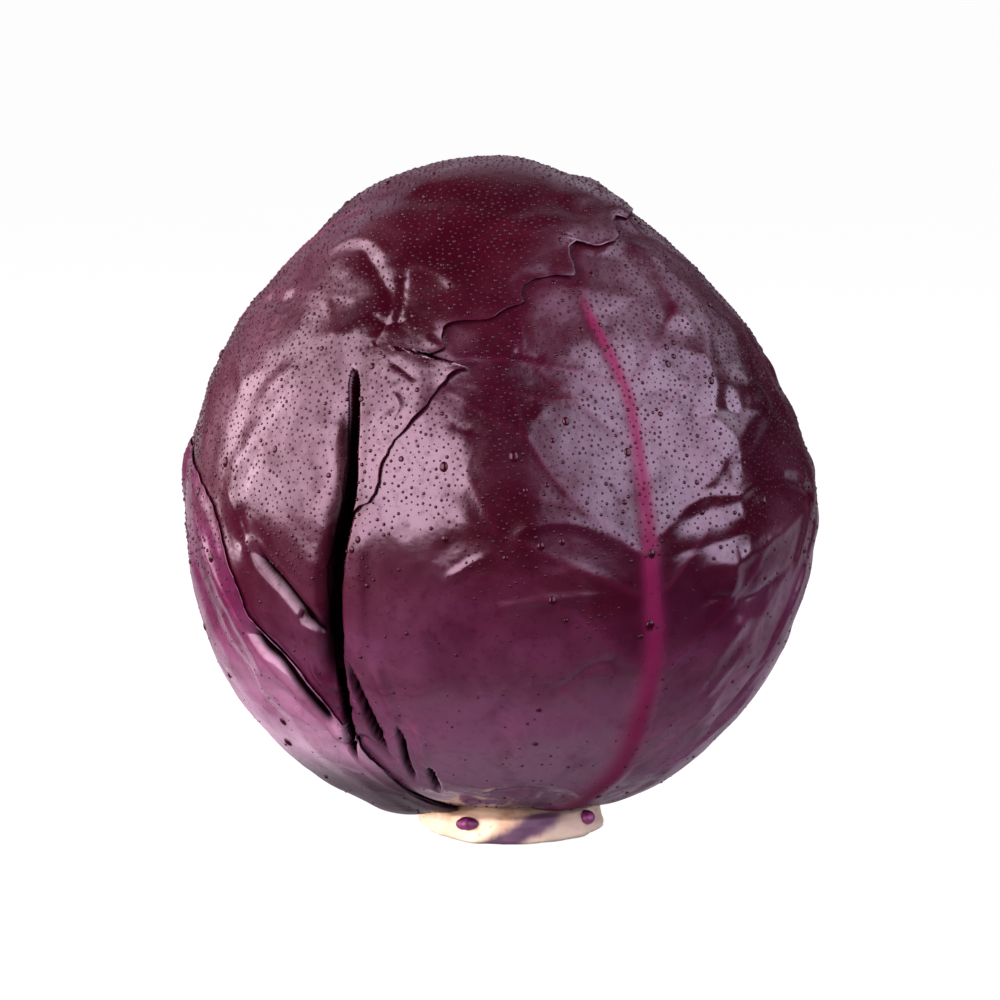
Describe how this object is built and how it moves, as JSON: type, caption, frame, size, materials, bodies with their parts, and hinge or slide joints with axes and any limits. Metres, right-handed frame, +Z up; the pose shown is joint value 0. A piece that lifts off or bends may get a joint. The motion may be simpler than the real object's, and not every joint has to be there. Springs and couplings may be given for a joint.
{
  "type": "red cabbage head",
  "caption": "Round, slightly upright head of red cabbage: ribbed wrapper leaves folded over a dense heart, standing on its flat cut stump with small buds beside it.",
  "frame": {"origin": "centre of the stem at its flat cut face, at the bottom of the head", "axes": "+Z up from the cut face to the crown, front of the head towards -Y"},
  "size_m": [0.152, 0.1484, 0.1623],
  "materials": {
    "stem": "dull, freshly cut and damp, cream with purple bark scars",
    "bud": "shiny magenta",
    "heart": "satin",
    "leaf_inner": "waxy satin, wet",
    "leaf_front": "waxy satin, wet, with magenta ribs",
    "leaf_crown": "waxy satin, wet, dark plum",
    "leaf_outer": "waxy, paler violet with pale veins",
    "water": "small clear drops of water on the leaves"
  },
  "bodies": {
    "root": {"stem": "stem", "bud_left": "bud", "bud_right": "bud", "heart": "heart", "leaf_back": "leaf_inner", "leaf_right": "leaf_inner", "leaf_front": "leaf_front", "leaf_crown": "leaf_crown", "leaf_left": "leaf_outer"}
  },
  "joints": []
}
